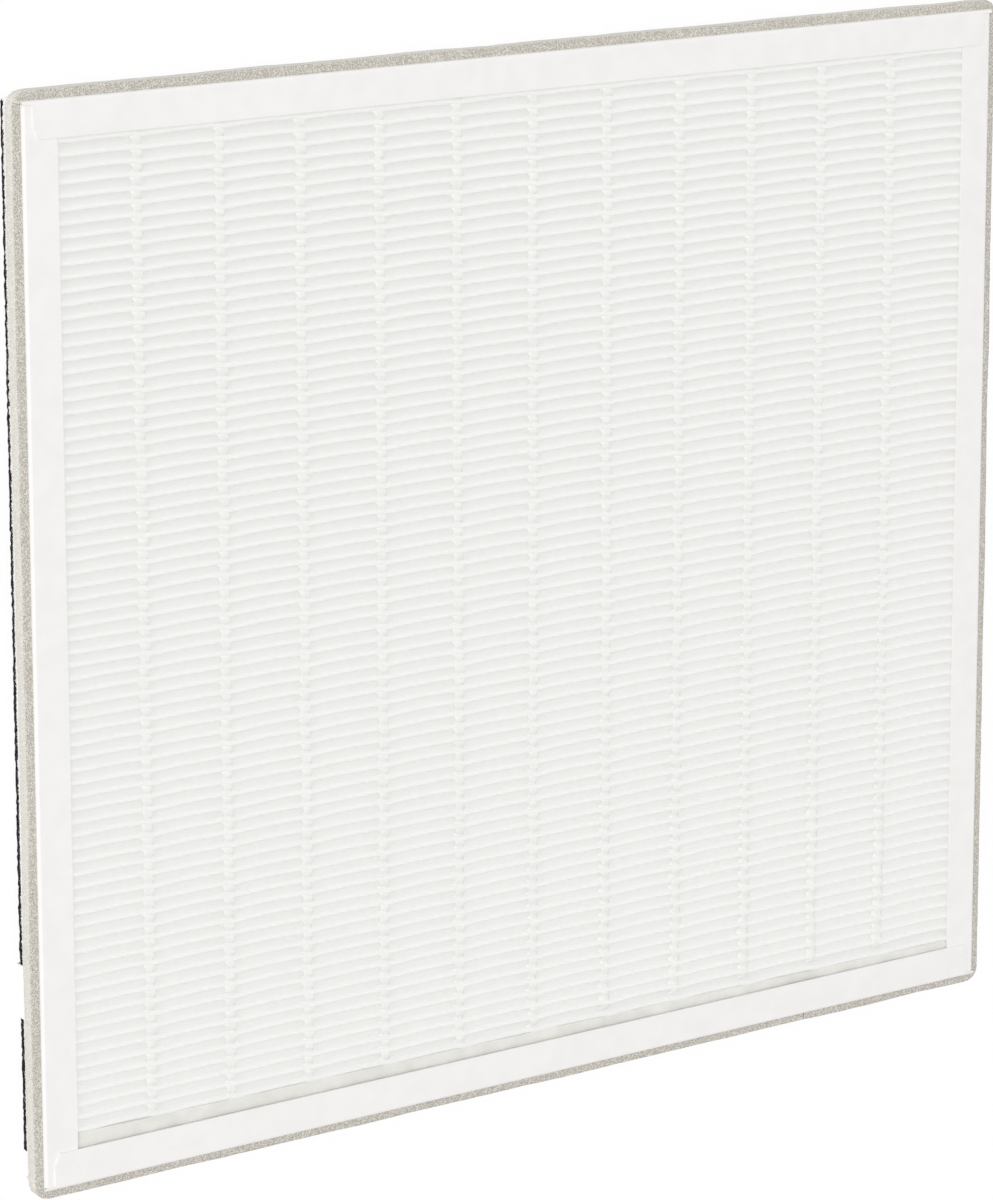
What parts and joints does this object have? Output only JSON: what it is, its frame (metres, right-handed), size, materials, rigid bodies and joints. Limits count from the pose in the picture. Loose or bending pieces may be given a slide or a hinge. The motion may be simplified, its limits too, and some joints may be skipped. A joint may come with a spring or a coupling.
{
  "type": "air purifier filter",
  "caption": "Flat pleated filter panel: folded board frame round a pleated paper pack with glue beads, a foam gasket round its edge and carbon felt on its back.",
  "frame": {"origin": "centre of the panel on the plane that its felt back rests on", "axes": "+X towards the right edge, +Y towards the top edge, +Z out of the pleated front, as the panel lies on its back"},
  "size_m": [0.3306, 0.3056, 0.014],
  "materials": {
    "frame_board": "smooth white coated board, matt",
    "filter_paper": "white fibrous filter paper",
    "hot_melt": "white hot-melt glue",
    "potting": "beige hot-melt potting",
    "gasket_foam": "grey open-cell foam with a smooth skin",
    "carbon_felt": "black needled felt",
    "tab_ribbon": "white woven ribbon"
  },
  "bodies": {
    "root": {"bottom_rail": "frame_board", "carbon_felt": "carbon_felt", "foam_gasket": "gasket_foam", "glue_bead_front_01": "hot_melt", "glue_bead_front_02": "hot_melt", "glue_bead_front_03": "hot_melt", "glue_bead_front_04": "hot_melt", "glue_bead_front_05": "hot_melt", "glue_bead_front_06": "hot_melt", "glue_bead_front_07": "hot_melt", "glue_bead_front_08": "hot_melt", "glue_bead_front_09": "hot_melt", "glue_bead_front_10": "hot_melt", "glue_bead_front_11": "hot_melt", "glue_bead_rear_01": "hot_melt", "glue_bead_rear_02": "hot_melt", "glue_bead_rear_03": "hot_melt", "glue_bead_rear_04": "hot_melt", "glue_bead_rear_05": "hot_melt", "glue_bead_rear_06": "hot_melt", "glue_bead_rear_07": "hot_melt", "glue_bead_rear_08": "hot_melt", "glue_bead_rear_09": "hot_melt", "glue_bead_rear_10": "hot_melt", "glue_bead_rear_11": "hot_melt", "left_stile": "frame_board", "pleated_media": "filter_paper", "pull_tab": "tab_ribbon", "right_stile": "frame_board", "seal_bottom": "potting", "seal_left": "potting", "seal_right": "potting", "seal_top": "potting", "top_rail": "frame_board"}
  },
  "joints": []
}
